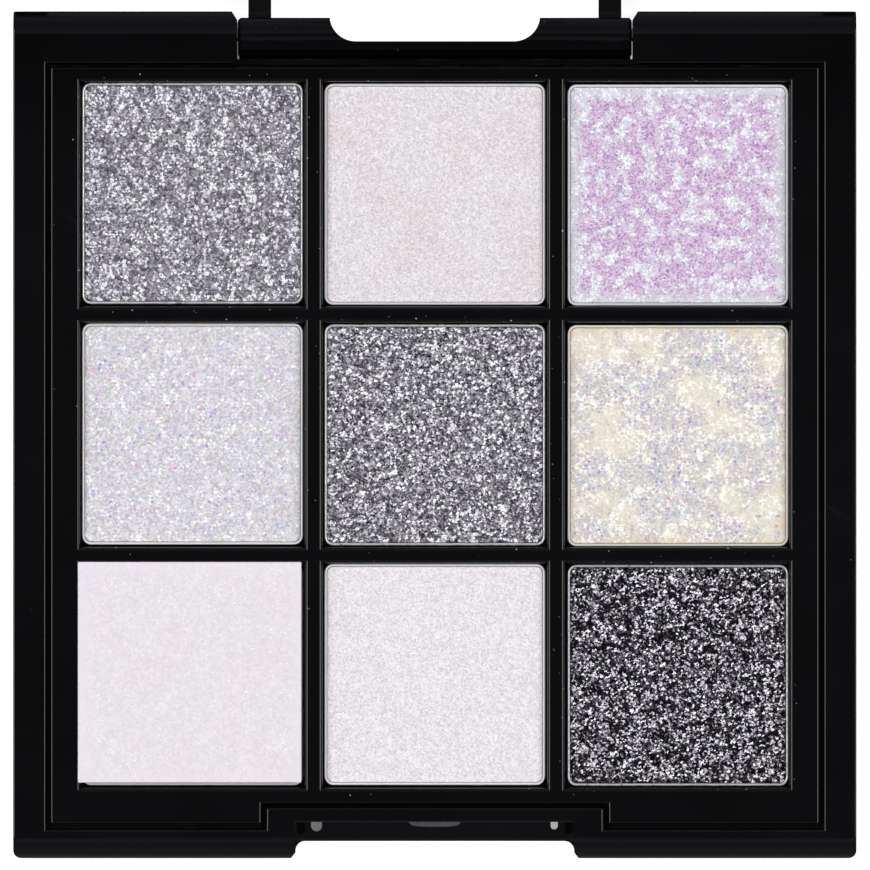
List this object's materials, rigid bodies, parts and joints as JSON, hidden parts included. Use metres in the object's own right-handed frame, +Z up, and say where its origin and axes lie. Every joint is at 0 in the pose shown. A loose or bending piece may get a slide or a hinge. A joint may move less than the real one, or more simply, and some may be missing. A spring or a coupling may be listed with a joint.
{
  "type": "eyeshadow palette",
  "caption": "Square black compact of pressed eyeshadow pans in an insert tray, with a hinged mirrored lid that folds open flat behind the base.",
  "frame": {"origin": "centre of the base case's underside, midway between its sides and midway between its front and back edges; the open lid is not counted", "axes": "+Z up out of the pans, +Y from the thumb recess towards the hinge, +X to the right of someone facing the thumb recess"},
  "size_m": [0.1002, 0.1957, 0.0112],
  "materials": {
    "case_black": "high-gloss moulded black",
    "tray_black": "high-gloss moulded black",
    "lid_black": "high-gloss moulded black",
    "pan_metal": "pressed sheet, bright edge",
    "pan_glue": "clear hot-melt dots",
    "pin_steel": "drawn wire",
    "mirror_glass": "silvered glass",
    "tape_white": "foam tape",
    "silver_glitter": "grey pressed powder full of coarse silver flakes",
    "rose_shimmer": "pale rose pressed powder with fine shimmer",
    "lilac_glitter": "pale lilac pressed powder with pink and violet flakes",
    "opal_glitter": "white pressed powder with opal flakes",
    "gunmetal_glitter": "dark grey pressed powder full of coarse silver flakes",
    "champagne_glitter": "cream pressed powder with gold and white flakes",
    "pink_satin": "pale pink pressed powder, smooth satin",
    "pearl_satin": "white pearl pressed powder, fine grain",
    "black_glitter": "black pressed powder with silver specks"
  },
  "bodies": {
    "base": {"base_case": "case_black", "pan_tray": "tray_black", "pan_back_left": "pan_metal", "pan_back_centre": "pan_metal", "pan_back_right": "pan_metal", "pan_middle_left": "pan_metal", "pan_middle_centre": "pan_metal", "pan_middle_right": "pan_metal", "pan_front_left": "pan_metal", "pan_front_centre": "pan_metal", "pan_front_right": "pan_metal", "shade_back_left_silver_glitter": "silver_glitter", "shade_back_centre_rose_shimmer": "rose_shimmer", "shade_back_right_lilac_glitter": "lilac_glitter", "shade_middle_left_opal_glitter": "opal_glitter", "shade_middle_centre_gunmetal_glitter": "gunmetal_glitter", "shade_middle_right_champagne_glitter": "champagne_glitter", "shade_front_left_pink_satin": "pink_satin", "shade_front_centre_pearl_satin": "pearl_satin", "shade_front_right_black_glitter": "black_glitter", "pan_glue_dots": "pan_glue", "hinge_pin_left": "pin_steel", "hinge_pin_right": "pin_steel"},
    "lid": {"lid_shell": "lid_black", "lid_mirror": "mirror_glass", "mirror_tape": "tape_white"}
  },
  "joints": [
    {"name": "lid_hinge", "type": "hinge", "parent": "base", "child": "lid", "pos_m": [0, 0.04755, 0.0073], "axis": [1, 0, 0], "range_deg": [0, 180]}
  ]
}
